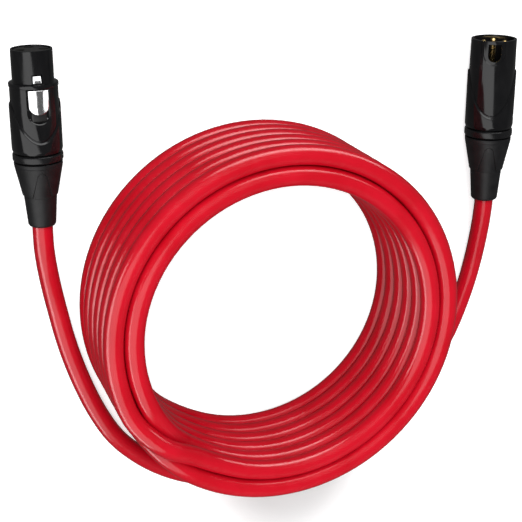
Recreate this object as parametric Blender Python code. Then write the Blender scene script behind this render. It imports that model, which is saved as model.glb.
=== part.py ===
"""Coiled microphone cable with a three-contact audio connector on each end.

The coil lies flat on the surface z = 0, with its axis along Z. Both ends of the
cord leave the coil at the surface and run up beside it, along +Y, to a female
connector on the left (-X) and a male connector on the right (+X).
The object stands on z = 0 and the middle of its box is at x = 0, y = 0.
"""
import math

import bmesh
import bpy
from mathutils import Vector

MM = 0.001
GAP = 0.3 * MM

# Cord and coil. The coil is two layers of six levels, turn against turn.
CORD_D = 8.0 * MM
CORD_R = CORD_D / 2
LAYER_STEP = 1.01 * CORD_D
LEVEL_STEP = 1.05 * CORD_D
LEVELS = 6
OUTER_TURN_R = 70.44 * MM
INNER_TURN_R = OUTER_TURN_R - LAYER_STEP
COIL_HEIGHT = CORD_D + (LEVELS - 1) * LEVEL_STEP
COIL_CENTRE = Vector((-8.75 * MM, -9.43 * MM, 0.0))
COIL_EDGE_ROUND = 3.0 * MM

# Connectors. Distances along a connector run back from its open end, and every
# size below is drawn for a shell of SHELL_R before the girth and stretch shares.
SHELL_R = 9.9 * MM
FEMALE_GIRTH = 0.97
FEMALE_STRETCH = 0.94
MALE_GIRTH = 1.03
MALE_STRETCH = 1.03
CONNECTOR_SPACING = 193.5 * MM
FEMALE_TIP = Vector((-CONNECTOR_SPACING / 2, 100.47 * MM, SHELL_R * FEMALE_GIRTH))
MALE_TIP = Vector((CONNECTOR_SPACING / 2, 92.97 * MM, SHELL_R * MALE_GIRTH))
FEMALE_ROLL = math.radians(1.5)
MALE_ROLL = math.radians(-26.5)
FEMALE_REAR = 41.3 * MM
MALE_REAR = 36.7 * MM
BOOT_END = 31.2 * MM
JACKET_START = 2.5 * MM
ROUND_STEPS = 40
SMALL_STEPS = 16

# Contact layout, the same in both connectors: two beside the key, one opposite.
CONTACT_PLACES = ((-4.4 * MM, 1.0 * MM), (4.4 * MM, 1.0 * MM), (0.0, -4.5 * MM))
CONTACT_R = 1.65 * MM
CONTACT_BORE_R = 1.25 * MM / FEMALE_GIRTH
PIN_R = 1.2 * MM / MALE_GIRTH
WIRE_R = 0.8 * MM
WIRE_CIRCLE_SHARE = 0.45

# Latch of the female connector.
LATCH_PIVOT_BACK = 27.2 * MM
LATCH_PIVOT_UP = 6.6 * MM
LATCH_PIN_R = 0.65 * MM
LATCH_PIN_HALF = 5.5 * MM
LATCH_BORE_R = 0.95 * MM

# Free cord, as points in the coil's own frame. The first is inside the boot.
FEMALE_ROUTE_MM = [
    (-88.0, 33.0, 9.5), (-87.1, 24.0, 8.1), (-85.3, 13.0, 5.8), (-83.2, 2.0, 4.5),
    (-81.0, -9.0, 4.0), (-78.2, -20.0, 4.0), (-74.3, -32.2, 4.0), (-69.2, -44.9, 4.0),
    (-62.4, -57.3, 4.0), (-53.8, -67.0, 4.0), (-43.3, -75.4, 4.0), (-31.2, -81.9, 4.0),
    (-18.2, -85.8, 4.0), (-4.6, -87.4, 4.0), (8.4, -86.6, 5.6), (20.2, -83.8, 9.4),
    (31.0, -79.2, 12.2), (41.5, -71.9, 12.6), (51.0, -63.0, 11.4), (59.3, -53.4, 8.0),
    (66.2, -43.0, 4.8), (72.0, -32.1, 4.0), (75.7, -21.8, 4.0),
]
MALE_ROUTE_MM = [
    (105.5, 28.4, 10.0), (105.4, 20.0, 8.9), (105.2, 10.0, 6.9), (104.5, 0.0, 5.0),
    (102.9, -9.0, 4.1), (100.0, -18.4, 4.0), (96.6, -27.4, 4.0), (92.6, -35.6, 4.0),
    (84.9, -46.1, 4.0), (74.6, -56.2, 4.0), (63.6, -63.6, 4.0), (51.9, -68.8, 4.0),
    (40.1, -71.9, 4.0), (29.4, -73.0, 4.0),
]
TAIL_POINTS = 22


def clear_scene():
    """Remove every object that is already in the scene."""
    for item in list(bpy.data.objects):
        bpy.data.objects.remove(item, do_unlink=True)


def make_material(name, colour, roughness, metallic=0.0):
    """A Principled BSDF material."""
    material = bpy.data.materials.new(name)
    material.use_nodes = True
    shader = material.node_tree.nodes["Principled BSDF"]
    shader.inputs["Base Color"].default_value = (*colour, 1.0)
    shader.inputs["Roughness"].default_value = roughness
    shader.inputs["Metallic"].default_value = metallic
    return material


def mm_pairs(pairs):
    """Outline points written in millimetres, in metres."""
    return [(first * MM, second * MM) for first, second in pairs]


def link_mesh(name, bm, material, parent=None):
    """Close a bmesh into a named object with flat and smooth shading set."""
    bmesh.ops.remove_doubles(bm, verts=bm.verts, dist=1e-7)
    bmesh.ops.recalc_face_normals(bm, faces=bm.faces)
    mesh = bpy.data.meshes.new(name)
    bm.to_mesh(mesh)
    bm.free()
    mesh.shade_smooth()
    mesh.set_sharp_from_angle(angle=math.radians(35))
    item = bpy.data.objects.new(name, mesh)
    bpy.context.collection.objects.link(item)
    if material is not None:
        mesh.materials.append(material)
    item.parent = parent
    return item


def turned(name, outline, material, parent=None, steps=ROUND_STEPS, closed=True, centre=(0.0, 0.0)):
    """A solid turned about local Y. Outline points are (distance back, radius)."""
    bm = bmesh.new()
    ring = [bm.verts.new((radius, -back, 0.0)) for back, radius in outline]
    edges = [bm.edges.new(pair) for pair in zip(ring, ring[1:])]
    if closed:
        edges.append(bm.edges.new((ring[-1], ring[0])))
    bmesh.ops.spin(bm, geom=ring + edges, cent=(0, 0, 0), axis=(0, 1, 0),
                   angle=2 * math.pi, steps=steps, use_merge=True)
    bmesh.ops.translate(bm, verts=bm.verts, vec=(centre[0], 0.0, centre[1]))
    return link_mesh(name, bm, material, parent)


def prism(name, outline, axes, low, high, material=None, parent=None):
    """An outline in the two named axes, pulled along the third from low to high."""
    bm = bmesh.new()
    pull = 3 - axes[0] - axes[1]
    ring = []
    for first, second in outline:
        place = [0.0, 0.0, 0.0]
        place[axes[0]] = first
        place[axes[1]] = second
        place[pull] = low
        ring.append(bm.verts.new(place))
    face = bm.faces.new(ring)
    pulled = bmesh.ops.extrude_face_region(bm, geom=[face])
    moved = [part for part in pulled["geom"] if isinstance(part, bmesh.types.BMVert)]
    shift = [0.0, 0.0, 0.0]
    shift[pull] = high - low
    bmesh.ops.translate(bm, verts=moved, vec=shift)
    return link_mesh(name, bm, material, parent)


def rectangle(low_a, high_a, low_b, high_b):
    """The four corners of an upright rectangle."""
    return [(low_a, low_b), (high_a, low_b), (high_a, high_b), (low_a, high_b)]


def arc(centre_a, centre_b, radius, start, end, count):
    """Points along a round stretch, angles in degrees."""
    points = []
    for index in range(count + 1):
        angle = math.radians(start + (end - start) * index / count)
        points.append((centre_a + radius * math.cos(angle), centre_b + radius * math.sin(angle)))
    return points


def apply_boolean(target, tool, operation):
    """Add a Boolean modifier and hide its tool from the build."""
    tool.hide_render = True
    tool.display_type = "WIRE"
    modifier = target.modifiers.new(tool.name, "BOOLEAN")
    modifier.operation = operation
    modifier.solver = "EXACT"
    modifier.object = tool


def connector_frame(name, tip, roll, girth, stretch):
    """An empty at a connector's open end, with its key side along local +Z."""
    frame = bpy.data.objects.new(name, None)
    bpy.context.collection.objects.link(frame)
    frame.location = tip
    frame.scale = (girth, stretch, girth)
    frame.rotation_euler = (0.0, roll, 0.0)
    return frame


def contact_places(girth):
    """Contact centres in a connector's own frame, before its girth is applied."""
    return [(x / girth, z / girth) for x, z in CONTACT_PLACES]


def smooth_route(points, count):
    """Evenly spaced points on a Catmull-Rom curve through the route points."""
    guide = [2 * points[0] - points[1]] + points + [2 * points[-1] - points[-2]]
    dense = []
    for index in range(1, len(guide) - 2):
        before, start, end, after = guide[index - 1:index + 3]
        for part in range(24):
            t = part / 24
            dense.append(0.5 * (2 * start + (end - before) * t
                                + (2 * before - 5 * start + 4 * end - after) * t ** 2
                                + (3 * start - before - 3 * end + after) * t ** 3))
    dense.append(points[-1])
    walked = [0.0]
    for start, end in zip(dense, dense[1:]):
        walked.append(walked[-1] + (end - start).length)
    result = []
    segment = 0
    for index in range(count):
        target = walked[-1] * index / (count - 1)
        while segment < len(dense) - 2 and walked[segment + 1] < target:
            segment += 1
        span = walked[segment + 1] - walked[segment]
        share = (target - walked[segment]) / span
        result.append(dense[segment].lerp(dense[segment + 1], share))
    return result


def tube(name, points, radius, material, bevel_resolution, parent=None):
    """A round tube with closed ends along a list of points."""
    curve = bpy.data.curves.new(name, "CURVE")
    curve.dimensions = "3D"
    curve.bevel_depth = radius
    curve.bevel_resolution = bevel_resolution
    curve.use_fill_caps = True
    spline = curve.splines.new("POLY")
    spline.points.add(len(points) - 1)
    for spot, point in zip(spline.points, points):
        spot.co = (*point, 1.0)
    curve.materials.append(material)
    item = bpy.data.objects.new(name, curve)
    bpy.context.collection.objects.link(item)
    item.parent = parent
    return item


def make_coil(material):
    """One ring with the outer shape of the wound turns, flat underneath."""
    low = INNER_TURN_R - CORD_R
    high = OUTER_TURN_R + CORD_R
    edge = COIL_EDGE_ROUND
    outline = []
    for radius, height, start in ((high, COIL_HEIGHT, 90), (low, COIL_HEIGHT, 180), (low, 0, 270),
                                  (high, 0, 360)):
        side = radius - edge if radius == high else radius + edge
        up = height - edge if height else edge
        outline += arc(side, up, edge, start - 90, start, 3)
    bm = bmesh.new()
    ring = [bm.verts.new((radius, 0.0, height)) for radius, height in outline]
    edges = [bm.edges.new(pair) for pair in zip(ring, ring[1:] + ring[:1])]
    bmesh.ops.spin(bm, geom=ring + edges, cent=(0, 0, 0), axis=(0, 0, 1),
                   angle=2 * math.pi, steps=96, use_merge=True)
    coil = link_mesh("cord_coil", bm, material)
    coil.location = COIL_CENTRE


def make_tail(name, route_mm, tip, rear, stretch, material):
    """The free cord from its end inside a connector to where it meets the coil."""
    inside = tip - Vector((0.0, (rear + JACKET_START) * stretch, 0.0))
    boot_mouth = tip - Vector((0.0, (rear + BOOT_END) * stretch + CORD_R / 2, 0.0))
    points = [inside, inside.lerp(boot_mouth, 0.5), boot_mouth]
    points += [COIL_CENTRE + Vector(point) * MM for point in route_mm]
    length = sum((end - start).length for start, end in zip(points, points[1:]))
    count = max(TAIL_POINTS, round(length / (2 * CORD_D)))
    tube(name, smooth_route(points, count), CORD_R - 0.1 * MM, material, 3)


def make_wires(end, rear, contact_back, girth, materials, parent):
    """Three insulated conductors from the jacket's end to the solder cups."""
    jacket = rear + JACKET_START - GAP
    for number, (place, material) in enumerate(zip(contact_places(girth), materials), start=1):
        x, z = place
        near = Vector((x, -contact_back - GAP, z))
        far = Vector((x * WIRE_CIRCLE_SHARE, -jacket, z * WIRE_CIRCLE_SHARE))
        lead = Vector((0.0, -3.0 * MM, 0.0))
        points = smooth_route([near, near + lead, far - lead, far], 9)
        tube(f"{end}_wire_{number}", points, WIRE_R, material, 2, parent)


def make_rear_parts(end, rear, materials, frame):
    """Coding ring, collet, gland nut and rubber boot behind a connector's shell."""
    def behind(pairs):
        return [(rear + back, radius) for back, radius in mm_pairs(pairs)]

    turned(f"{end}_coding_ring",
           behind([(0.35, 9.5), (0.75, 9.9), (3.1, 9.9), (3.5, 9.5), (3.5, 8.3), (0.35, 8.3)]),
           materials["shell"], frame)
    turned(f"{end}_chuck",
           behind([(-0.5, 5.6), (-0.1, 6.0), (5.0, 6.0), (8.5, 5.3), (8.5, 4.3), (-0.5, 4.3)]),
           materials["plastic"], frame)
    turned(f"{end}_boot_nut",
           behind([(-5.3, 7.6), (-5.0, 7.9), (3.6, 7.9), (3.6, 7.3), (10.7, 7.3), (10.7, 5.2),
                   (8.2, 6.4), (-5.3, 6.4)]),
           materials["plastic"], frame)
    turned(f"{end}_boot",
           behind([(3.9, 9.3), (4.1, 9.6), (6.1, 9.5), (17.9, 7.0), (18.1, 6.5), (30.6, 5.5),
                   (31.2, 5.1), (31.2, 4.4), (11.4, 4.4), (11.4, 7.6), (3.9, 7.6)]),
           materials["rubber"], frame)


def make_female(materials):
    """Female connector: shell, insert, three sockets, latch, and the parts behind."""
    frame = connector_frame("female_axis", FEMALE_TIP, FEMALE_ROLL, FEMALE_GIRTH, FEMALE_STRETCH)
    housing = turned("female_housing", mm_pairs([
        (0.0, 7.7), (0.4, 8.0), (13.0, 8.0), (13.0, 9.3), (13.4, 9.55), (14.4, 9.55),
        (14.8, 9.3), (28.0, 9.4), (38.0, 9.85), (39.9, 9.85), (41.3, 9.4), (41.3, 8.3),
        (30.5, 8.3), (30.5, 7.2), (0.0, 7.2)]), materials["shell"], frame)
    recess_corner = 1.5 * MM
    recess = prism("latch_recess_cutter",
                   [(-4.5 * MM, -14.5 * MM)]
                   + arc(-3.0 * MM, -27.8 * MM, recess_corner, 180, 270, 4)
                   + arc(3.0 * MM, -27.8 * MM, recess_corner, 270, 360, 4)
                   + [(4.5 * MM, -14.5 * MM)],
                   (0, 1), 4.5 * MM, 12.0 * MM, None, frame)
    window = prism("tooth_window_cutter", rectangle(-2.0 * MM, 2.0 * MM, -12.7 * MM, -9.2 * MM),
                   (0, 1), 5.0 * MM, 8.9 * MM, None, frame)
    pin_bore = prism("latch_pin_bore_cutter",
                     arc(-LATCH_PIVOT_BACK, LATCH_PIVOT_UP, LATCH_BORE_R, 0, 337.5, 15),
                     (1, 2), -5.9 * MM, 5.9 * MM, None, frame)
    for cutter in (recess, window, pin_bore):
        apply_boolean(housing, cutter, "DIFFERENCE")

    insert = turned("female_insert", mm_pairs([
        (0.4, 0.0), (0.4, 6.6), (0.7, 6.9), (24.0, 6.9), (24.0, 0.0)]),
        materials["plastic"], frame, closed=False)
    arm_channel = prism("arm_channel_cutter", rectangle(-2.1 * MM, 2.1 * MM, -25.0 * MM, -8.6 * MM),
                        (0, 1), 3.6 * MM, 8.0 * MM, None, frame)
    tab_flat = prism("tab_flat_cutter", rectangle(-4.6 * MM, 4.6 * MM, -25.0 * MM, -14.0 * MM),
                     (0, 1), 5.6 * MM, 8.0 * MM, None, frame)
    apply_boolean(insert, arm_channel, "DIFFERENCE")
    apply_boolean(insert, tab_flat, "DIFFERENCE")
    contact_back = 26.5 * MM
    for number, place in enumerate(contact_places(FEMALE_GIRTH), start=1):
        hole = turned(f"socket_hole_cutter_{number}",
                      [(-MM, 0.0), (-MM, CONTACT_R + GAP), (25.0 * MM, CONTACT_R + GAP), (25.0 * MM, 0.0)],
                      None, frame, SMALL_STEPS, False, place)
        apply_boolean(insert, hole, "DIFFERENCE")
        turned(f"female_contact_{number}",
               [(1.2 * MM, CONTACT_BORE_R), (1.2 * MM, CONTACT_R), (contact_back, CONTACT_R),
                (contact_back, 0.0), (18.0 * MM, 0.0), (18.0 * MM, CONTACT_BORE_R)],
               materials["gold"], frame, SMALL_STEPS, True, place)
    make_latch(frame, materials)
    make_wires("female", FEMALE_REAR, contact_back, FEMALE_GIRTH, materials["wires"], frame)
    make_rear_parts("female", FEMALE_REAR, materials, frame)


def make_latch(frame, materials):
    """Spring latch: a thumb tab, an arm under the collar with a tooth, two ears on a pin."""
    pivot = bpy.data.objects.new("female_latch_pivot", None)
    bpy.context.collection.objects.link(pivot)
    pivot.parent = frame
    pivot.location = (0.0, -LATCH_PIVOT_BACK, LATCH_PIVOT_UP)

    def place(item):
        item.parent = pivot
        item.matrix_parent_inverse.identity()
        item.location = (0.0, LATCH_PIVOT_BACK, -LATCH_PIVOT_UP)
        return item

    tab_r = 9.35 * MM
    tab_half = math.degrees(math.asin(4.0 * MM / tab_r))
    tab_outline = [(-4.0 * MM, 7.1 * MM), (4.0 * MM, 7.1 * MM)]
    tab_outline += arc(0.0, 0.0, tab_r, 90 - tab_half, 90 + tab_half, 8)
    latch = place(prism("female_latch", tab_outline, (0, 2), -24.9 * MM, -14.9 * MM, materials["chrome"]))
    arm = place(prism("latch_arm_tool", rectangle(-1.6 * MM, 1.6 * MM, -24.5 * MM, -9.5 * MM),
                      (0, 1), 5.5 * MM, 6.6 * MM))
    neck = place(prism("latch_neck_tool", rectangle(-1.6 * MM, 1.6 * MM, -24.5 * MM, -15.5 * MM),
                       (0, 1), 6.0 * MM, 7.6 * MM))
    tooth = place(prism("latch_tooth_tool", mm_pairs([(-12.4, 6.0), (-9.5, 6.0), (-9.5, 7.4),
                                                       (-11.2, 8.3), (-12.4, 8.3)]),
                        (1, 2), -1.6 * MM, 1.6 * MM))
    for tool in (arm, neck, tooth):
        apply_boolean(latch, tool, "UNION")
    ear_r = 1.5 * MM
    for side in (-1, 1):
        low, high = sorted((side * 2.6 * MM, side * 3.9 * MM))
        ear_outline = arc(-LATCH_PIVOT_BACK, LATCH_PIVOT_UP, ear_r, 90, 270, 8)
        ear_outline += mm_pairs([(-25.2, 5.1), (-24.2, 6.8), (-24.2, 8.1)])
        ear = place(prism(f"latch_ear_tool_{side + 2}", ear_outline, (1, 2), low, high))
        apply_boolean(latch, ear, "UNION")
    bore = place(prism("latch_bore_cutter",
                       arc(-LATCH_PIVOT_BACK, LATCH_PIVOT_UP, LATCH_BORE_R, 0, 337.5, 15),
                       (1, 2), -4.3 * MM, 4.3 * MM))
    apply_boolean(latch, bore, "DIFFERENCE")

    prism("female_latch_pin", arc(-LATCH_PIVOT_BACK, LATCH_PIVOT_UP, LATCH_PIN_R, 0, 337.5, 15),
          (1, 2), -LATCH_PIN_HALF, LATCH_PIN_HALF, materials["steel"], frame)
    spring = prism("female_latch_spring", arc(-LATCH_PIVOT_BACK, LATCH_PIVOT_UP, 1.45 * MM, 0, 345, 23),
                   (1, 2), -2.2 * MM, 2.2 * MM, materials["steel"], frame)
    spring_bore = prism("latch_spring_bore_cutter",
                        arc(-LATCH_PIVOT_BACK, LATCH_PIVOT_UP, LATCH_BORE_R, 0, 345, 23),
                        (1, 2), -3.0 * MM, 3.0 * MM, None, frame)
    apply_boolean(spring, spring_bore, "DIFFERENCE")


def make_male(materials):
    """Male connector: shell, insert, three pins, and the parts behind."""
    frame = connector_frame("male_axis", MALE_TIP, MALE_ROLL, MALE_GIRTH, MALE_STRETCH)
    housing = turned("male_housing", mm_pairs([
        (0.0, 8.9), (0.3, 9.2), (12.0, 9.3), (24.0, 9.5), (33.0, 9.85), (35.3, 9.85),
        (36.7, 9.4), (36.7, 8.3), (25.0, 8.3), (25.0, 8.15), (0.0, 8.15)]),
        materials["shell"], frame)
    slot_r = 2.6 * MM
    slot = prism("key_slot_cutter",
                 [(-slot_r, -1.3 * MM)] + arc(0.0, -5.8 * MM, slot_r, 180, 360, 8)
                 + [(slot_r, -1.3 * MM)],
                 (0, 1), 6.0 * MM, 12.0 * MM, None, frame)
    apply_boolean(housing, slot, "DIFFERENCE")
    insert = turned("male_insert", mm_pairs([
        (13.5, 0.0), (13.5, 7.6), (13.8, 7.85), (24.0, 7.85), (24.0, 0.0)]),
        materials["plastic"], frame, closed=False)
    contact_back = 26.5 * MM
    for number, place in enumerate(contact_places(MALE_GIRTH), start=1):
        hole = turned(f"pin_hole_cutter_{number}",
                      [(12.0 * MM, 0.0), (12.0 * MM, PIN_R + GAP), (25.0 * MM, PIN_R + GAP), (25.0 * MM, 0.0)],
                      None, frame, SMALL_STEPS, False, place)
        apply_boolean(insert, hole, "DIFFERENCE")
        tip = [(0.5 * MM + PIN_R - reach, height) for reach, height in arc(0.0, 0.0, PIN_R, 0, 90, 4)]
        turned(f"male_pin_{number}", [(back, max(height, 0.0)) for back, height in tip]
               + [(contact_back, PIN_R), (contact_back, 0.0)],
               materials["gold"], frame, SMALL_STEPS, False, place)
    make_wires("male", MALE_REAR, contact_back, MALE_GIRTH, materials["wires"], frame)
    make_rear_parts("male", MALE_REAR, materials, frame)


def make_materials():
    """Every finish on the object."""
    return {
        "cord": make_material("red_pvc", (0.56, 0.012, 0.022), 0.42),
        "shell": make_material("black_metal", (0.012, 0.012, 0.013), 0.25, 0.6),
        "rubber": make_material("black_rubber", (0.018, 0.018, 0.018), 0.6),
        "plastic": make_material("black_plastic", (0.022, 0.022, 0.022), 0.5),
        "chrome": make_material("chrome", (0.82, 0.82, 0.83), 0.12, 1.0),
        "steel": make_material("steel", (0.6, 0.6, 0.6), 0.3, 1.0),
        "gold": make_material("gold_plate", (0.85, 0.6, 0.22), 0.22, 1.0),
        "wires": (make_material("shield_copper", (0.72, 0.36, 0.2), 0.4, 1.0),
                  make_material("wire_red", (0.5, 0.02, 0.02), 0.45),
                  make_material("wire_white", (0.8, 0.8, 0.78), 0.45)),
    }


def main():
    clear_scene()
    materials = make_materials()
    make_coil(materials["cord"])
    make_tail("cord_tail_female", FEMALE_ROUTE_MM, FEMALE_TIP, FEMALE_REAR, FEMALE_STRETCH,
              materials["cord"])
    make_tail("cord_tail_male", MALE_ROUTE_MM, MALE_TIP, MALE_REAR, MALE_STRETCH,
              materials["cord"])
    make_female(materials)
    make_male(materials)


main()
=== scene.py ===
"""Looks for the coiled microphone cable: the wound cord, its two connectors, the floor and light.

The coil lies flat with its axis along Z. Both ends of the cord run along +Y to a
female connector at -X and a male connector at +X. Named lengths are metres unless
the name ends in _MM. Inside the connector functions all sizes are millimetres.
"""

import math

import bmesh
import bpy
from mathutils import Matrix, Vector


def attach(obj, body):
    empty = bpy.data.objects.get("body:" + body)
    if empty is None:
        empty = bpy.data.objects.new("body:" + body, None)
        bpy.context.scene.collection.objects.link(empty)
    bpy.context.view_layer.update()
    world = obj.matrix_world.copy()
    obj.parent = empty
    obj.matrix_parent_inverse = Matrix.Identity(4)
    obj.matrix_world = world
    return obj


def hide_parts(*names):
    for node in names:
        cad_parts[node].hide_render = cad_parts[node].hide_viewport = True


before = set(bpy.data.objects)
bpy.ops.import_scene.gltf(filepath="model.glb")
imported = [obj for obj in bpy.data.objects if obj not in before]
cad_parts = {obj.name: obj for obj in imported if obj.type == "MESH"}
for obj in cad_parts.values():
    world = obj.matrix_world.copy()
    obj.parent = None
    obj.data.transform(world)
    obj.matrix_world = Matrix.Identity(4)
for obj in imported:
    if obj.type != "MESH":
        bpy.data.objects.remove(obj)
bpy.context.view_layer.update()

MM = 0.001

# Cord and coil.
CORD_D = 8.0 * MM
CORD_R = CORD_D / 2
LEVEL_STEP = 8.4 * MM
TOP_LEVEL = 5
OUTER_TURN_R = 70.44 * MM
INNER_TURN_R = 62.36 * MM
COIL_CENTRE = Vector((-8.75 * MM, -9.43 * MM, 0.0))

# Connectors. Distances along a connector run back from its open end, and sizes are
# drawn for a shell of SHELL_R before the girth and stretch shares.
SHELL_R = 9.9 * MM
CONNECTOR_SPACING = 193.5 * MM
FEMALE_GIRTH = 0.97
FEMALE_STRETCH = 0.94
MALE_GIRTH = 1.03
MALE_STRETCH = 1.03
FEMALE_TIP = Vector((-CONNECTOR_SPACING / 2, 100.47 * MM, SHELL_R * FEMALE_GIRTH))
MALE_TIP = Vector((CONNECTOR_SPACING / 2, 92.97 * MM, SHELL_R * MALE_GIRTH))
FEMALE_ROLL = math.radians(1.5)
MALE_ROLL = math.radians(-26.5)
FEMALE_REAR_MM = 41.3
MALE_REAR_MM = 36.7
GRIP_R_MM = 9.86
# From a shell's rear end to the boot's mouth and to the start of the cord's jacket.
BOOT_END_MM = 31.2
JACKET_START_MM = 2.5

# Each turn drops or climbs one place inside this stretch of the coil, in degrees.
JOG_START = 203.0
JOG_END = 237.0
FIRST_TURN_START = 14.0
LAST_TURN_END = 262.0
# How far the cord rises over its neighbours as it changes level, less on each level up,
# and where it crosses from the outer layer to the inner one.
CLIMB_HUMP = 2.7 * MM
CLIMB_HUMP_LOSS = 0.4 * MM
CROSSING_HUMP = 3.8 * MM
TURN_POINTS = 30
SPAN_PARTS = 16
CORD_STEP = 4.0 * MM

# Free cord, as points in the coil's own frame. The first is inside the boot.
FEMALE_ROUTE_MM = [
    (-88.0, 33.0, 9.5), (-87.1, 24.0, 8.1), (-85.3, 13.0, 5.8), (-83.2, 2.0, 4.5),
    (-81.0, -9.0, 4.0), (-78.2, -20.0, 4.0), (-74.3, -32.2, 4.0), (-69.2, -44.9, 4.0),
    (-62.4, -57.3, 4.0), (-53.8, -67.0, 4.0), (-43.3, -75.4, 4.0), (-31.2, -81.9, 4.0),
    (-18.2, -85.8, 4.0), (-4.6, -87.4, 4.0), (8.4, -86.6, 5.6), (20.2, -83.8, 9.4),
    (31.0, -79.2, 12.2), (41.5, -71.9, 12.6), (51.0, -63.0, 11.4), (59.3, -53.4, 8.0),
    (66.2, -43.0, 4.8), (72.0, -32.1, 4.0), (75.7, -21.8, 4.0),
]
MALE_ROUTE_MM = [
    (105.5, 28.4, 10.0), (105.4, 20.0, 8.9), (105.2, 10.0, 6.9), (104.5, 0.0, 5.0),
    (102.9, -9.0, 4.1), (100.0, -18.4, 4.0), (96.6, -27.4, 4.0), (92.6, -35.6, 4.0),
    (84.9, -46.1, 4.0), (74.6, -56.2, 4.0), (63.6, -63.6, 4.0), (51.9, -68.8, 4.0),
    (40.1, -71.9, 4.0), (29.4, -73.0, 4.0),
]
# Where the free cord joins the first turn and leaves the last one: radius and angle.
LEAD_IN_MM = [(77.0, 350.0), (73.5, 359.0), (70.7, 8.0)]
LEAD_OUT_MM = [(71.0, 268.0), (72.6, 275.0), (75.2, 283.0)]

# The camera, fitted to the photo.
CAMERA_PLACE = Vector((-0.16855, 0.18037, 0.4575))
CAMERA_TARGET = Vector((-0.00355, 0.0023, 0.0))
CAMERA_LENS = 83.8

# Steps along each rounded corner and round a turned piece, and the angle at which an
# edge is drawn sharp.
ROUND_STEPS = 3
TURNED_STEPS = 96
SHARP_DEGREES = 32.0

# Lights: name, place, target, size, watts.
LEFT_SOFTBOX = ("left_softbox", (-0.60, -0.33, 0.72), (-0.05, 0.05, 0.02), (1.2, 1.2), 7.6)
BACK_SOFTBOX = ("back_softbox", (0.25, 0.89, 0.38), (0.0, 0.0, 0.03), (0.8, 0.35), 2.6)
OVERHEAD_FILL = ("overhead_fill", (-0.15, 0.75, 1.0), (0.0, 0.0, 0.0), (1.1, 1.1), 17.0)
FRONT_FILL = ("front_fill", (0.35, -0.9, 0.45), (0.0, 0.0, 0.02), (1.0, 0.8), 6.0)
LOW_STRIPS = (
    ("low_left_strip", (-0.93, -0.36, 0.20), (0.0, 0.0, 0.03), (1.6, 0.36), 9.0),
    ("low_back_strip", (0.35, 0.93, 0.20), (0.0, 0.0, 0.03), (1.6, 0.36), 9.0),
)

# Reflector cards for the bright metal: name, angles across and along, size, watts.
LATCH_CARDS = (
    ("card_left", -25.0, -13.0, (0.46, 0.6), 1.6),
    ("card_right", 66.0, -13.0, (0.25, 0.6), 0.9),
    ("card_back", 9.0, 25.0, (0.4, 0.22), 0.6),
)
PIN_CARD = ("card_pins", -5.0, 42.0, (0.7, 0.6), 4.0)
# From a card to what it lights, and from the female tip back to the latch tab.
CARD_DISTANCE = 0.5
LATCH_BACK = 0.02

# The floor glows a little, so that it's white like the photo's. The glow grows with the
# distance from the middle, and it fades out in front of the coil: painted shade there, on top of the
# cast shadow.
STAGE_R = 3.0
FLOOR_DROP = 0.2 * MM
FLOOR_GLOW = 0.62
FAR_GLOW = 1.1
GLOW_RISE_START = 0.18
GLOW_RISE_END = 0.8
# Painted shadow: round this place the floor's glow fades out, leaving a darker patch in front of the
# coil.
PAINTED_SHADE_PLACE = (0.012, -0.105, 0.0)
PAINTED_SHADE_CORE_R = 0.015
PAINTED_SHADE_EDGE_R = 0.055
WORLD_STRENGTH = 0.1


# ---------------------------------------------------------------- shader helpers

def new_material(name):
    """A material with only a Principled shader and its output."""
    material = bpy.data.materials.new(name)
    material.use_nodes = True
    tree = material.node_tree
    shader = tree.nodes["Principled BSDF"]
    return material, tree, shader


def link(tree, start, end):
    """Join an output socket to an input socket."""
    tree.links.new(start, end)


# ---------------------------------------------------------------- camera and stage

def make_camera():
    """The camera, level with world Y up in its picture."""
    data = bpy.data.cameras.new("camera")
    data.lens = CAMERA_LENS
    data.sensor_width = 36.0
    data.clip_start = 0.01
    camera = bpy.data.objects.new("camera", data)
    bpy.context.scene.collection.objects.link(camera)
    forward = (CAMERA_TARGET - CAMERA_PLACE).normalized()
    right = forward.cross(Vector((0.0, 1.0, 0.0))).normalized()
    up = right.cross(forward)
    camera.matrix_world = Matrix((
        (right.x, up.x, -forward.x, CAMERA_PLACE.x),
        (right.y, up.y, -forward.y, CAMERA_PLACE.y),
        (right.z, up.z, -forward.z, CAMERA_PLACE.z),
        (0.0, 0.0, 0.0, 1.0)))
    bpy.context.scene.camera = camera


def area_light(name, place, target, size, power):
    """A white rectangle of light. Its first side is level, or along X when it hangs overhead."""
    data = bpy.data.lights.new(name, "AREA")
    data.shape = "RECTANGLE"
    data.size, data.size_y = size
    data.energy = power
    item = bpy.data.objects.new(name, data)
    bpy.context.scene.collection.objects.link(item)
    item.location = place
    item.rotation_mode = "QUATERNION"
    forward = (Vector(target) - Vector(place)).normalized()
    overhead = abs(forward.z) > 0.8
    right = forward.cross(Vector((0.0, 1.0, 0.0) if overhead else (0.0, 0.0, 1.0))).normalized()
    turn = Matrix((right, right.cross(forward), -forward)).transposed()
    item.rotation_quaternion = turn.to_quaternion()
    return item


def bright_card(name, centre, across, along, size, power):
    """A reflector card near a connector, placed by its angles in degrees from straight above."""
    way = Vector((math.tan(math.radians(across)), math.tan(math.radians(along)), 1.0)).normalized()
    return area_light(name, centre + way * CARD_DISTANCE, centre, size, power)


def light_only(light, items):
    """Let a light reach some pieces and nothing else."""
    group = bpy.data.collections.new(light.name + "_targets")
    for item in items:
        group.objects.link(item)
    light.light_linking.receiver_collection = group


def stage_mesh(name, bm):
    """A stage object that only the camera sees, so that it adds no light to the object."""
    mesh = bpy.data.meshes.new(name)
    bm.to_mesh(mesh)
    bm.free()
    item = bpy.data.objects.new(name, mesh)
    bpy.context.scene.collection.objects.link(item)
    item.visible_diffuse = False
    item.visible_glossy = False
    item.visible_transmission = False
    item.visible_volume_scatter = False
    return item


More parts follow.
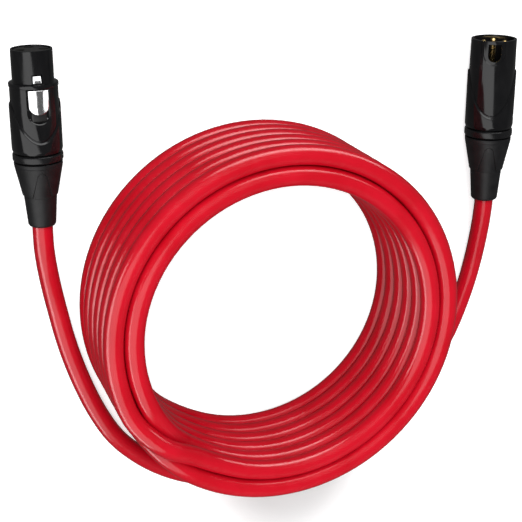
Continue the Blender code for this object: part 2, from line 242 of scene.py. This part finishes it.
def floor_material():
    """Matt white paint with a glow that depends on the place, faded out in front of the coil as painted
    shade.
    """
    material, tree, shader = new_material("floor_paint")
    shader.inputs["Base Color"].default_value = (0.9, 0.9, 0.9, 1.0)
    shader.inputs["Roughness"].default_value = 0.9
    shader.inputs["Specular IOR Level"].default_value = 0.0
    shader.inputs["Emission Color"].default_value = (1.0, 1.0, 1.0, 1.0)
    coords = tree.nodes.new("ShaderNodeTexCoord")
    distance = tree.nodes.new("ShaderNodeVectorMath")
    distance.operation = "LENGTH"
    link(tree, coords.outputs["Object"], distance.inputs[0])
    glow = tree.nodes.new("ShaderNodeMapRange")
    glow.inputs["From Min"].default_value = GLOW_RISE_START
    glow.inputs["From Max"].default_value = GLOW_RISE_END
    glow.inputs["To Min"].default_value = FLOOR_GLOW
    glow.inputs["To Max"].default_value = FAR_GLOW
    link(tree, distance.outputs["Value"], glow.inputs["Value"])
    # Painted shadow: the glow fades out round a place in front of the coil, which darkens the floor
    # there.
    painted_shade_distance = tree.nodes.new("ShaderNodeVectorMath")
    painted_shade_distance.operation = "DISTANCE"
    painted_shade_distance.inputs[1].default_value = PAINTED_SHADE_PLACE
    link(tree, coords.outputs["Object"], painted_shade_distance.inputs[0])
    painted_shade_fade = tree.nodes.new("ShaderNodeMapRange")
    painted_shade_fade.interpolation_type = "SMOOTHSTEP"
    painted_shade_fade.inputs["From Min"].default_value = PAINTED_SHADE_CORE_R
    painted_shade_fade.inputs["From Max"].default_value = PAINTED_SHADE_EDGE_R
    link(tree, painted_shade_distance.outputs["Value"], painted_shade_fade.inputs["Value"])
    strength = tree.nodes.new("ShaderNodeMath")
    strength.operation = "MULTIPLY"
    link(tree, glow.outputs["Result"], strength.inputs[0])
    link(tree, painted_shade_fade.outputs["Result"], strength.inputs[1])
    link(tree, strength.outputs["Value"], shader.inputs["Emission Strength"])
    return material


def backdrop_material():
    """Plain white light, with nothing reflected."""
    material, tree, shader = new_material("backdrop_paint")
    shader.inputs["Base Color"].default_value = (0.0, 0.0, 0.0, 1.0)
    shader.inputs["Specular IOR Level"].default_value = 0.0
    shader.inputs["Emission Color"].default_value = (1.0, 1.0, 1.0, 1.0)
    shader.inputs["Emission Strength"].default_value = 1.0
    return material


def make_stage():
    """Pale floor and white surroundings."""
    bm = bmesh.new()
    bmesh.ops.create_grid(bm, x_segments=1, y_segments=1, size=STAGE_R)
    floor = stage_mesh("floor", bm)
    floor.location = (0.0, 0.0, -FLOOR_DROP)
    floor.data.materials.append(floor_material())

    bm = bmesh.new()
    bmesh.ops.create_uvsphere(bm, u_segments=48, v_segments=24, radius=STAGE_R)
    backdrop = stage_mesh("backdrop", bm)
    backdrop.visible_shadow = False
    backdrop.data.materials.append(backdrop_material())

    world = bpy.data.worlds.new("surroundings")
    world.use_nodes = True
    background = world.node_tree.nodes["Background"]
    background.inputs["Color"].default_value = (1.0, 1.0, 1.0, 1.0)
    background.inputs["Strength"].default_value = WORLD_STRENGTH
    bpy.context.scene.world = world
    bpy.context.scene.view_settings.view_transform = "Standard"


def make_lights(cord, made):
    """Soft lights over everything, and strips and cards that only some pieces catch."""
    area_light(*LEFT_SOFTBOX)
    area_light(*BACK_SOFTBOX)
    fill = area_light(*OVERHEAD_FILL)
    fill.visible_glossy = False
    front = area_light(*FRONT_FILL)
    front.visible_glossy = False
    light_only(front, [cord, *made.values()])
    for settings in LOW_STRIPS:
        strip = area_light(*settings)
        strip.visible_diffuse = False
        light_only(strip, [cord])
    latch_metal = [made["female_latch_tab"], made["female_latch_tooth"]]
    latch_place = FEMALE_TIP - Vector((0.0, LATCH_BACK, 0.0))
    for name, across, along, size, power in LATCH_CARDS:
        light_only(bright_card(name, latch_place, across, along, size, power), latch_metal)
    pins = [node for name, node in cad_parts.items() if name.startswith("male_pin")]
    light_only(bright_card(PIN_CARD[0], MALE_TIP, *PIN_CARD[1:]), pins)


# ---------------------------------------------------------------- cord

def polar(radius_mm, degrees, height):
    """A point by its distance from the coil's axis, its angle and its height in metres."""
    angle = math.radians(degrees)
    return COIL_CENTRE + Vector((radius_mm * MM * math.cos(angle), radius_mm * MM * math.sin(angle),
                                 height))


def ramp(share):
    """A smooth start and end for a share from 0 to 1."""
    return share * share * (3 - 2 * share)


def winding():
    """Points of the twelve turns: up the outer layer, then down the inner one."""
    outer = [(OUTER_TURN_R, level) for level in range(TOP_LEVEL + 1)]
    inner = [(INNER_TURN_R, level) for level in range(TOP_LEVEL, -1, -1)]
    places = outer + inner + outer[:1]
    points = []
    step = 360.0 / TURN_POINTS
    degrees = FIRST_TURN_START
    last = LAST_TURN_END + 360.0 * (len(places) - 2)
    while degrees < last + step / 2:
        turn = int((degrees - JOG_START) // 360.0) + 1
        local = degrees - 360.0 * (turn - 1)
        if turn > 0 and local < JOG_END:
            share = ramp((local - JOG_START) / (JOG_END - JOG_START))
            start, end = places[turn - 1], places[turn]
        else:
            share = 0.0
            start = end = places[turn]
        radius = start[0] + (end[0] - start[0]) * share
        height = CORD_R + LEVEL_STEP * (start[1] + (end[1] - start[1]) * share)
        hump = 4 * share * (1 - share)
        low = min(start[1], end[1])
        if start[1] != end[1]:
            height += hump * (CLIMB_HUMP - CLIMB_HUMP_LOSS * low)
        elif low == TOP_LEVEL:
            height += hump * CROSSING_HUMP
        points.append(polar(radius / MM, degrees, height))
        degrees += step
    return points


def smooth_route(points, step):
    """Evenly spaced points on a Catmull-Rom curve through the given points, and its length."""
    guide = [2 * points[0] - points[1]] + points + [2 * points[-1] - points[-2]]
    dense = []
    for index in range(1, len(guide) - 2):
        before, start, end, after = guide[index - 1:index + 3]
        for part in range(SPAN_PARTS):
            t = part / SPAN_PARTS
            dense.append(0.5 * (2 * start + (end - before) * t
                                + (2 * before - 5 * start + 4 * end - after) * t ** 2
                                + (3 * start - before - 3 * end + after) * t ** 3))
    dense.append(points[-1])
    walked = [0.0]
    for start, end in zip(dense, dense[1:]):
        walked.append(walked[-1] + (end - start).length)
    count = round(walked[-1] / step) + 1
    result = []
    segment = 0
    for index in range(count):
        target = walked[-1] * index / (count - 1)
        while segment < len(dense) - 2 and walked[segment + 1] < target:
            segment += 1
        span = walked[segment + 1] - walked[segment]
        result.append(dense[segment].lerp(dense[segment + 1], (target - walked[segment]) / span))
    return result, walked[-1]


def boot_mouth(tip, rear, stretch):
    """Where the cord comes out of a connector's boot."""
    return tip - Vector((0.0, (rear + BOOT_END_MM) * stretch * MM, 0.0))


def connector_lead(tip, rear, stretch):
    """The straight cord inside a connector, from its jacket's end to just past the boot's mouth."""
    inside = tip - Vector((0.0, (rear + JACKET_START_MM) * stretch * MM, 0.0))
    mouth = boot_mouth(tip, rear, stretch) - Vector((0.0, CORD_R / 2, 0.0))
    return [inside, inside.lerp(mouth, 0.5), mouth]


def make_cord():
    """The whole cord, one smooth line from inside one connector to inside the other."""
    route = connector_lead(FEMALE_TIP, FEMALE_REAR_MM, FEMALE_STRETCH)
    route += [COIL_CENTRE + Vector(point) * MM for point in FEMALE_ROUTE_MM]
    route += [polar(radius, degrees, CORD_R) for radius, degrees in LEAD_IN_MM]
    route += winding()
    route += [polar(radius, degrees, CORD_R) for radius, degrees in LEAD_OUT_MM]
    route += [COIL_CENTRE + Vector(point) * MM for point in reversed(MALE_ROUTE_MM)]
    route += reversed(connector_lead(MALE_TIP, MALE_REAR_MM, MALE_STRETCH))
    points, length = smooth_route(route, CORD_STEP)

    curve = bpy.data.curves.new("cord", "CURVE")
    curve.dimensions = "3D"
    curve.bevel_depth = CORD_R
    curve.bevel_resolution = 6
    curve.use_fill_caps = True
    spline = curve.splines.new("POLY")
    spline.points.add(len(points) - 1)
    for spot, point in zip(spline.points, points):
        spot.co = (*point, 1.0)
    curve.materials.append(cord_material())
    cord = bpy.data.objects.new("cord", curve)
    bpy.context.scene.collection.objects.link(cord)
    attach(cord, "cable")
    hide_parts("cord_coil", "cord_tail_female", "cord_tail_male")
    return cord, length


# ---------------------------------------------------------------- mesh helpers

def finish_mesh(name, bm, matrix, material, sharp=SHARP_DEGREES):
    """A bmesh drawn in a connector's frame, as an object in the row frame."""
    bmesh.ops.remove_doubles(bm, verts=bm.verts, dist=0.002 * MM)
    bmesh.ops.dissolve_degenerate(bm, edges=bm.edges, dist=0.001 * MM)
    bmesh.ops.recalc_face_normals(bm, faces=bm.faces)
    mesh = bpy.data.meshes.new(name)
    bm.to_mesh(mesh)
    bm.free()
    mesh.transform(matrix)
    mesh.shade_smooth()
    mesh.set_sharp_from_angle(angle=math.radians(sharp))
    mesh.materials.append(material)
    item = bpy.data.objects.new(name, mesh)
    bpy.context.scene.collection.objects.link(item)
    return item


def at(back, radius, degrees):
    """A point on a connector, in millimetres: how far back, and round from the key side."""
    angle = math.radians(degrees)
    return Vector((radius * math.sin(angle), -back, radius * math.cos(angle)))


def rounded(corners):
    """A closed outline in metres with its corners rounded: corners are (point, rounding)."""
    result = []
    count = len(corners)
    for index, (point, rounding) in enumerate(corners):
        ends = []
        for other in (corners[index - 1][0], corners[(index + 1) % count][0]):
            side = other - point
            reach = min(rounding, 0.45 * side.length)
            ends.append(point + side.normalized() * reach)
        for part in range(ROUND_STEPS + 1):
            u = part / ROUND_STEPS
            result.append((ends[0] * (1 - u) ** 2 + point * (2 * u * (1 - u)) + ends[1] * u ** 2) * MM)
    return result


def skin(columns, wrap=True):
    """A bmesh skin over closed outlines that stand side by side."""
    bm = bmesh.new()
    grid = [[bm.verts.new(point) for point in column] for column in columns]
    pairs = list(zip(grid, grid[1:]))
    if wrap:
        pairs.append((grid[-1], grid[0]))
    else:
        bm.faces.new(grid[0])
        bm.faces.new(reversed(grid[-1]))
    for left, right in pairs:
        for index in range(len(left)):
            after = (index + 1) % len(left)
            bm.faces.new((left[index], left[after], right[after], right[index]))
    return bm


def turned(name, outline, matrix, material):
    """A solid turned about the connector's axis. Outline corners are (back, radius, rounding)."""
    columns = []
    for step in range(TURNED_STEPS):
        degrees = 360.0 * step / TURNED_STEPS
        columns.append(rounded([(at(back, radius, degrees), rounding)
                                for back, radius, rounding in outline]))
    return finish_mesh(name, skin(columns), matrix, material)


def block(name, low, high, matrix, material, edge=0.2, tilt=0.0):
    """A box with rounded edges, in millimetres. Its front top edge is lower by tilt."""
    bm = bmesh.new()
    bmesh.ops.create_cube(bm, size=1.0)
    for vert in bm.verts:
        share = vert.co + Vector((0.5, 0.5, 0.5))
        vert.co = Vector([(a + (b - a) * c) for a, b, c in zip(low, high, share)])
        if share.y > 0.5 and share.z > 0.5:
            vert.co.z -= tilt
    bmesh.ops.bevel(bm, geom=bm.edges[:], offset=edge, segments=3, profile=0.5, affect="EDGES")
    bmesh.ops.scale(bm, verts=bm.verts, vec=(MM, MM, MM))
    return finish_mesh(name, bm, matrix, material)


def slot_tool(half, start, end, matrix, material):
    """A cutting solid for a slot through a shell's key side: square in front, round behind."""
    low, high = 5.0, 12.0
    outline = [(half, start)]
    for turn in range(0, 181, 9):
        angle = math.radians(turn)
        outline.append((half * math.cos(angle), end - half + half * math.sin(angle)))
    outline.append((-half, start))
    bm = bmesh.new()
    face = bm.faces.new([bm.verts.new((across * MM, -back * MM, low * MM)) for across, back in outline])
    pulled = bmesh.ops.extrude_face_region(bm, geom=[face])
    moved = [part for part in pulled["geom"] if isinstance(part, bmesh.types.BMVert)]
    bmesh.ops.translate(bm, verts=moved, vec=(0.0, 0.0, (high - low) * MM))
    return finish_mesh("slot_tool", bm, matrix, material)


def cut_with(target, tool):
    """Take a solid out of a piece for good."""
    modifier = target.modifiers.new("cut", "BOOLEAN")
    modifier.operation = "DIFFERENCE"
    modifier.solver = "EXACT"
    modifier.object = tool
    graph = bpy.context.evaluated_depsgraph_get()
    mesh = bpy.data.meshes.new_from_object(target.evaluated_get(graph))
    target.modifiers.clear()
    target.data = mesh
    mesh.shade_smooth()
    mesh.set_sharp_from_angle(angle=math.radians(SHARP_DEGREES))
    bpy.data.objects.remove(tool, do_unlink=True)


def steps_between(start, end, count):
    """Evenly spaced numbers from start to end."""
    return [start + (end - start) * index / (count - 1) for index in range(count)]


def even_angles(step, skip):
    """Angles all the way round, without those within skip of the key side."""
    count = round(360.0 / step)
    angles = [360.0 * index / count - 180.0 for index in range(count)]
    return [angle for angle in angles if abs(angle) > skip]


def slot_angles(half, radius):
    """Angles across a slot, closer together near its sides."""
    return [math.degrees(math.asin(half * math.sin(math.radians(turn)) / radius))
            for turn in range(-90, 91, 9)]


def shell_angles(half, radius):
    """Angles round a shell, closer together across a recess on its key side.

    Also gives the angle of the recess's side, where two of them stand close together.
    """
    edge = math.degrees(math.asin(half / radius))
    sides = [-edge - 0.15, edge + 0.15]
    return sorted(even_angles(2.5, edge + 0.4) + sides + slot_angles(half - 0.02, radius)), edge


def round_end(across, half, end):
    """How far back a slot with a round end reaches at a distance across."""
    return end - half + math.sqrt(max(half * half - across * across, 0.0))


def connector_matrix(tip, roll, girth, stretch):
    """From a connector's own frame to the row frame."""
    return (Matrix.Translation(tip) @ Matrix.Rotation(roll, 4, "Y")
            @ Matrix.Diagonal((girth, stretch, girth, 1.0)))


# ---------------------------------------------------------------- connector pieces

def wing_start(degrees, side, reach):
    """Where the raised grip begins: a scallop, furthest back on the key side and its opposite."""
    return side + reach * abs(math.cos(math.radians(degrees))) ** 1.25


def grip_edge(wing, radius, degrees):
    """Profile corners where the shell drops into a fine groove and climbs onto the grip."""
    return [(at(wing - 0.75, radius, degrees), 0.12), (at(wing - 0.3, radius - 0.22, degrees), 0.12),
            (at(wing + 0.05, radius - 0.22, degrees), 0.1), (at(wing + 0.7, 9.87, degrees), 0.22)]


def shell_rear(rear, step_back, bore_r, degrees):
    """Profile corners of a shell's chamfered rear end and of the bore's step inside it."""
    wide_bore_r = 8.3
    return [(at(rear - 1.4, GRIP_R_MM, degrees), 0.3), (at(rear - 0.2, 9.5, degrees), 0.15),
            (at(rear, 9.1, degrees), 0.05), (at(rear, wide_bore_r, degrees), 0.0),
            (at(step_back, wide_bore_r, degrees), 0.0), (at(step_back, bore_r, degrees), 0.0)]


def female_shell(matrix, material):
    """Nose, beaded collar, latch pocket and scalloped grip of the female connector."""
    bore_r, nose_r, bead_r, surface = 7.2, 8.0, 9.55, 9.3
    pocket_half, pocket_front, pocket_end = 4.6, 14.8, 28.4
    pocket_floor, clear_of_bore = 6.95, 7.3
    angles, edge = shell_angles(pocket_half, surface)
    columns = []
    for degrees in angles:
        in_pocket = abs(degrees) < edge
        across = surface * math.sin(math.radians(degrees))
        back = round_end(across, pocket_half, pocket_end)
        wing = wing_start(degrees, 20.1, 15.9)
        front_foot = at(pocket_front, surface, degrees)
        rear_foot = at(back, surface, degrees)
        lip_drop = 0.0
        if in_pocket:
            floor = max(pocket_floor, math.sqrt(max(clear_of_bore ** 2 - across ** 2, 0.0)))
            front_foot = Vector((across, -pocket_front, floor))
            rear_foot = Vector((across, -back, floor))
            lip_drop = 0.35
        corners = [
            (at(0.0, bore_r, degrees), 0.15), (at(0.0, nose_r, degrees), 0.3),
            (at(12.95, nose_r, degrees), 0.25), (at(13.05, bead_r, degrees), 0.45),
            (at(14.6, bead_r, degrees), 0.45), (at(14.72, surface, degrees), 0.05),
            (front_foot, 0.05), (rear_foot, 0.05),
            (at(back + 0.05, surface - lip_drop, degrees), 0.0),
            (at(back + 0.45, surface + 0.02, degrees), 0.1),
            *grip_edge(wing, surface + 0.08, degrees),
            *shell_rear(FEMALE_REAR_MM, 30.5, bore_r, degrees)]
        columns.append(rounded(corners))
    shell = finish_mesh("female_shell", skin(columns), matrix, material)
    cut_with(shell, block("window_tool", (-2.0, -12.75, 6.0), (2.0, -9.2, 9.0), matrix, material, 0.25))
    return shell


def male_shell(matrix, material):
    """Socket, key slot behind the rim in its shallow surround, and scalloped male grip."""
    bore_r, rim = 8.15, 9.2
    slot_half, slot_start, slot_end = 2.6, 1.3, 8.4
    surround_half, surround_end, surround_depth = 4.4, 9.4, 0.4
    angles, edge = shell_angles(surround_half, rim)
    columns = []
    for degrees in angles:
        across = rim * math.sin(math.radians(degrees))
        sunk = surround_depth if abs(degrees) < edge else 0.0
        step = round_end(across, surround_half, surround_end) if sunk else surround_end - surround_half
        wing = wing_start(degrees, 12.3, 18.7)
        corners = [
            (at(0.0, bore_r, degrees), 0.12), (at(0.0, rim - sunk, degrees), 0.22),
            (at(step, rim - sunk, degrees), 0.08), (at(step + 0.35, rim + 0.03, degrees), 0.12),
            *grip_edge(wing, rim + 0.12, degrees),
            *shell_rear(MALE_REAR_MM, 25.0, bore_r, degrees)]
        columns.append(rounded(corners))
    shell = finish_mesh("male_shell", skin(columns), matrix, material)
    cut_with(shell, slot_tool(slot_half, slot_start, slot_end, matrix, material))
    return shell


def coding_ring(end, rear, matrix, material):
    """Narrow ring between the shell and the boot, with a shallow groove on each side."""
    outline = [(0.35, 8.3, 0.0), (0.35, 9.25, 0.1), (0.75, GRIP_R_MM, 0.25), (3.1, GRIP_R_MM, 0.25),
               (3.55, 9.25, 0.1), (3.55, 8.3, 0.0)]
    return turned(f"{end}_ring", [(rear + back, radius, rounding) for back, radius, rounding in outline],
                  matrix, material)


def boot(end, rear, spin, matrix, material):
    """Rubber boot: a cone over a tapered sleeve that shows through an arch on two sides."""
    cone_end, arch_top, arch_half, arch_spread = 17.9, 7.2, 1.9, 0.23
    lip_start, groove_end = 3.95, 5.95

    def cone(back):
        return 9.36 - (back - groove_end) * 0.2017

    def arch_floor(back):
        return cone(back) - 0.12 - 0.33 * (back - arch_top) / (cone_end - arch_top)

    def arch_edge(turn):
        """Where an arch begins. It depends on the cone's radius there, so it's found in rounds."""
        edge = arch_top
        for _ in range(12):
            across = cone(edge) * math.sin(math.radians(turn))
            if across < arch_half:
                edge = arch_top + arch_half - math.sqrt(arch_half ** 2 - across ** 2)
            else:
                edge = min(arch_top + arch_half + (across - arch_half) / arch_spread, cone_end)
        return edge

    angles = []
    for side in (0.0, 180.0):
        angles += [side + turn for turn in range(-48, 49)]
        angles += [side + turn for turn in range(51, 132, 3)]
    columns = []
    for degrees in sorted(set(angle % 360.0 for angle in angles)):
        edge = arch_edge(min(degrees, 360.0 - degrees, abs(degrees - 180.0)))
        rows = [(lip_start, 9.0, 0.0), (4.1, 9.52, 0.15), (5.55, 9.46, 0.12), (5.72, 9.3, 0.05),
                (groove_end, cone(groove_end), 0.1)]
        rows += [(back, cone(back), 0.0) for back in steps_between(6.1, edge - 0.15, 8)]
        rows += [(edge - 0.05, cone(edge - 0.05), 0.05), (edge + 0.14, arch_floor(edge) - 0.16, 0.05)]
        rows += [(back, arch_floor(back), 0.0) for back in steps_between(edge + 0.42, cone_end + 0.5, 7)]
        rows += [(18.6, 6.46, 0.2), (24.0, 6.02, 0.0), (30.5, 5.5, 0.2), (BOOT_END_MM, 5.0, 0.2),
                 (BOOT_END_MM, 4.15, 0.1), (11.4, 4.15, 0.0), (11.4, 7.6, 0.0), (lip_start, 7.6, 0.0)]
        columns.append(rounded([(at(rear + back, radius, degrees + spin), rounding)
                                for back, radius, rounding in rows]))
    return finish_mesh(f"{end}_boot_rubber", skin(columns), matrix, material, 28.0)


def latch_tab(matrix, material):
    """Polished thumb tab with a round rear end, crowned like the shell round it."""
    half, front, end = 4.0, 15.08, 24.8
    top_r, low_r = 9.42, 8.95
    side_start, side_drop = 3.6, 0.3
    columns = []
    for turn in range(-90, 91, 6):
        across = half * math.sin(math.radians(turn))
        back = max(round_end(across, half, end), front + 0.4)
        beyond = max(0.0, (abs(across) - side_start) / (half - side_start))
        top = math.sqrt(top_r ** 2 - across ** 2) - side_drop * beyond ** 2
        low = math.sqrt(low_r ** 2 - across ** 2)
        columns.append(rounded([
            (Vector((across, -front, low)), 0.05), (Vector((across, -front, top - 0.15)), 0.35),
            (Vector((across, -back, top)), 0.35), (Vector((across, -back, low)), 0.05)]))
    return finish_mesh("female_latch_tab", skin(columns, wrap=False), matrix, material, 50.0)


def make_connectors(m):
    """Both connectors' detailed pieces, each on the body of the part that it stands for."""
    female = connector_matrix(FEMALE_TIP, FEMALE_ROLL, FEMALE_GIRTH, FEMALE_STRETCH)
    male = connector_matrix(MALE_TIP, MALE_ROLL, MALE_GIRTH, MALE_STRETCH)
    pieces = [
        (female_shell(female, m["shell"]), "cable", "shell_black", ["female_housing"]),
        (male_shell(male, m["shell"]), "cable", "shell_black", ["male_housing"]),
        (coding_ring("female", FEMALE_REAR_MM, female, m["ring"]), "cable", "ring_black",
         ["female_coding_ring"]),
        (coding_ring("male", MALE_REAR_MM, male, m["ring"]), "cable", "ring_black",
         ["male_coding_ring"]),
        (boot("female", FEMALE_REAR_MM, -3.0, female, m["rubber"]), "female_boot", "boot_rubber",
         ["female_boot"]),
        (boot("male", MALE_REAR_MM, 2.0, male, m["rubber"]), "male_boot", "boot_rubber",
         ["male_boot"]),
        (latch_tab(female, m["chrome"]), "female_latch", "latch_chrome", ["female_latch"]),
        (block("female_latch_tooth", (-1.65, -12.5, 5.6), (1.65, -9.6, 8.25), female,
               m["chrome"], 0.25, 0.7), "female_latch", "latch_chrome", []),
        (block("female_latch_arm", (-1.6, -24.0, 5.6), (1.6, -12.0, 6.8), female,
               m["chrome"]), "female_latch", "latch_chrome", []),
        (block("female_latch_carrier", (-3.0, -27.9, 5.2), (3.0, -23.0, 8.2), female,
               m["plastic"], 0.6), "female_latch", "nut_plastic", []),
    ]
    for item, body, slot, nodes in pieces:
        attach(item, body)
        if nodes:
            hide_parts(*nodes)
    return {item.name: item for item, *rest in pieces}


# ---------------------------------------------------------------- materials

def add_noise(tree, feature_mm, detail, stretch=(1.0, 1.0, 1.0)):
    """A noise over the object's own space, with features about feature_mm across."""
    coords = tree.nodes.new("ShaderNodeTexCoord")
    mapping = tree.nodes.new("ShaderNodeMapping")
    mapping.inputs["Scale"].default_value = stretch
    noise = tree.nodes.new("ShaderNodeTexNoise")
    noise.inputs["Scale"].default_value = 1.0 / (feature_mm * MM)
    noise.inputs["Detail"].default_value = detail
    link(tree, coords.outputs["Object"], mapping.inputs["Vector"])
    link(tree, mapping.outputs["Vector"], noise.inputs["Vector"])
    return noise.outputs["Fac"]


def add_range(tree, value, low, high):
    """Spread a noise between two values."""
    spread = tree.nodes.new("ShaderNodeMapRange")
    spread.inputs["From Min"].default_value = 0.3
    spread.inputs["From Max"].default_value = 0.7
    spread.inputs["To Min"].default_value = low
    spread.inputs["To Max"].default_value = high
    link(tree, value, spread.inputs["Value"])
    return spread.outputs["Result"]


def add_colours(tree, value, low, high):
    """Run between two colours."""
    colours = tree.nodes.new("ShaderNodeValToRGB")
    colours.color_ramp.elements[0].position = 0.3
    colours.color_ramp.elements[0].color = (*low, 1.0)
    colours.color_ramp.elements[1].position = 0.7
    colours.color_ramp.elements[1].color = (*high, 1.0)
    link(tree, value, colours.inputs["Fac"])
    return colours.outputs["Color"]


def add_bump(tree, shader, layers):
    """Stack bumps on a shader. Each layer is (height value, depth in millimetres)."""
    normal = None
    for value, depth_mm in layers:
        bump = tree.nodes.new("ShaderNodeBump")
        bump.inputs["Distance"].default_value = depth_mm * MM
        link(tree, value, bump.inputs["Height"])
        if normal is not None:
            link(tree, normal, bump.inputs["Normal"])
        normal = bump.outputs["Normal"]
    link(tree, normal, shader.inputs["Normal"])


def moulded(name, low, high, roughness, grain, patch_mm=6.0, metallic=0.0,
            stretch=(1.0, 1.0, 1.0)):
    """A material with patchy colour, uneven gloss and a fine grain.

    low and high are colours, roughness a range, and grain is (size, depth) in millimetres.
    """
    material, tree, shader = new_material(name)
    patches = add_noise(tree, patch_mm, 2.0, stretch)
    fine = add_noise(tree, grain[0], 4.0, stretch)
    link(tree, add_colours(tree, patches, low, high), shader.inputs["Base Color"])
    link(tree, add_range(tree, fine, *roughness), shader.inputs["Roughness"])
    shader.inputs["Metallic"].default_value = metallic
    add_bump(tree, shader, [(fine, grain[1]), (patches, grain[1] * 2)])
    return material


def shell_material():
    """Smooth black electroplate with faint flow ripples and handling marks."""
    material, tree, shader = new_material("gloss_black_plating")
    marks = add_noise(tree, 2.2, 5.0, (1.0, 0.25, 1.0))
    fine = add_noise(tree, 0.35, 3.0)
    link(tree, add_colours(tree, marks, (0.0035, 0.0035, 0.004), (0.006, 0.006, 0.0065)),
         shader.inputs["Base Color"])
    link(tree, add_range(tree, marks, 0.10, 0.19), shader.inputs["Roughness"])
    add_bump(tree, shader, [(fine, 0.0015), (marks, 0.006)])
    return material


def rubber_material():
    """Black moulded rubber with a fine eroded texture and paler scuffs."""
    material, tree, shader = new_material("black_boot_rubber")
    pebble = tree.nodes.new("ShaderNodeTexVoronoi")
    coords = tree.nodes.new("ShaderNodeTexCoord")
    pebble.inputs["Scale"].default_value = 1.0 / (0.45 * MM)
    link(tree, coords.outputs["Object"], pebble.inputs["Vector"])
    scuffs = add_noise(tree, 4.0, 5.0)
    fine = add_noise(tree, 0.25, 3.0)
    link(tree, add_colours(tree, scuffs, (0.004, 0.004, 0.0045), (0.009, 0.009, 0.0095)),
         shader.inputs["Base Color"])
    link(tree, add_range(tree, fine, 0.38, 0.58), shader.inputs["Roughness"])
    add_bump(tree, shader, [(pebble.outputs["Distance"], 0.012), (fine, 0.008)])
    return material


def cord_material():
    """Satin red PVC jacket: faint waves from the strands beneath, fine grain and dull patches."""
    material, tree, shader = new_material("red_pvc_jacket")
    patches = add_noise(tree, 14.0, 4.0)
    waves = add_noise(tree, 3.0, 2.0)
    fine = add_noise(tree, 0.4, 3.0)
    link(tree, add_colours(tree, patches, (0.455, 0.003, 0.011), (0.53, 0.005, 0.017)),
         shader.inputs["Base Color"])
    link(tree, add_range(tree, waves, 0.15, 0.24), shader.inputs["Roughness"])
    add_bump(tree, shader, [(fine, 0.002), (waves, 0.012)])
    return material


def make_materials():
    """Every material of the connectors' pieces and of the CAD nodes that show."""
    return {
        "shell": shell_material(),
        "ring": moulded("black_ring_plastic", (0.004, 0.004, 0.0045), (0.007, 0.007, 0.0075),
                        (0.2, 0.34), (0.4, 0.003)),
        "rubber": rubber_material(),
        "plastic": moulded("black_insert_plastic", (0.010, 0.010, 0.010), (0.017, 0.017, 0.017),
                           (0.3, 0.46), (0.3, 0.004)),
        "chrome": moulded("polished_chrome", (0.84, 0.84, 0.85), (0.92, 0.92, 0.93),
                          (0.09, 0.2), (0.5, 0.002), 3.0, 1.0, (1.0, 0.2, 1.0)),
        "steel": moulded("bright_steel", (0.48, 0.48, 0.49), (0.6, 0.6, 0.61), (0.24, 0.38),
                         (0.2, 0.003), 2.0, 1.0, (0.2, 1.0, 1.0)),
        "gold": moulded("gold_plate", (0.83, 0.57, 0.22), (0.92, 0.68, 0.30), (0.16, 0.3),
                        (0.3, 0.002), 2.0, 1.0, (1.0, 0.3, 1.0)),
        "copper": moulded("stranded_copper", (0.55, 0.27, 0.15), (0.8, 0.44, 0.27), (0.28, 0.45),
                          (0.25, 0.03), 0.5, 1.0, (1.0, 0.15, 1.0)),
        "wire_red": moulded("red_wire_pvc", (0.45, 0.012, 0.012), (0.58, 0.025, 0.02), (0.3, 0.42),
                            (0.3, 0.004), 3.0),
        "wire_white": moulded("white_wire_pvc", (0.72, 0.72, 0.69), (0.84, 0.84, 0.81), (0.3, 0.42),
                              (0.3, 0.004), 3.0),
    }


def dress_cad_nodes(m):
    """Give every CAD node that still shows its material. The longest matching word decides."""
    finishes = {"insert": "plastic", "contact": "gold", "pin": "gold", "chuck": "plastic",
                "boot_nut": "plastic", "latch_pin": "steel", "latch_spring": "steel",
                "wire_1": "copper", "wire_2": "wire_red", "wire_3": "wire_white"}
    for name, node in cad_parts.items():
        for word in sorted(finishes, key=len):
            if word in name:
                node.data.materials.clear()
                node.data.materials.append(m[finishes[word]])


make_camera()
make_stage()
cord, cord_length = make_cord()
materials = make_materials()
made = make_connectors(materials)
dress_cad_nodes(materials)
make_lights(cord, made)
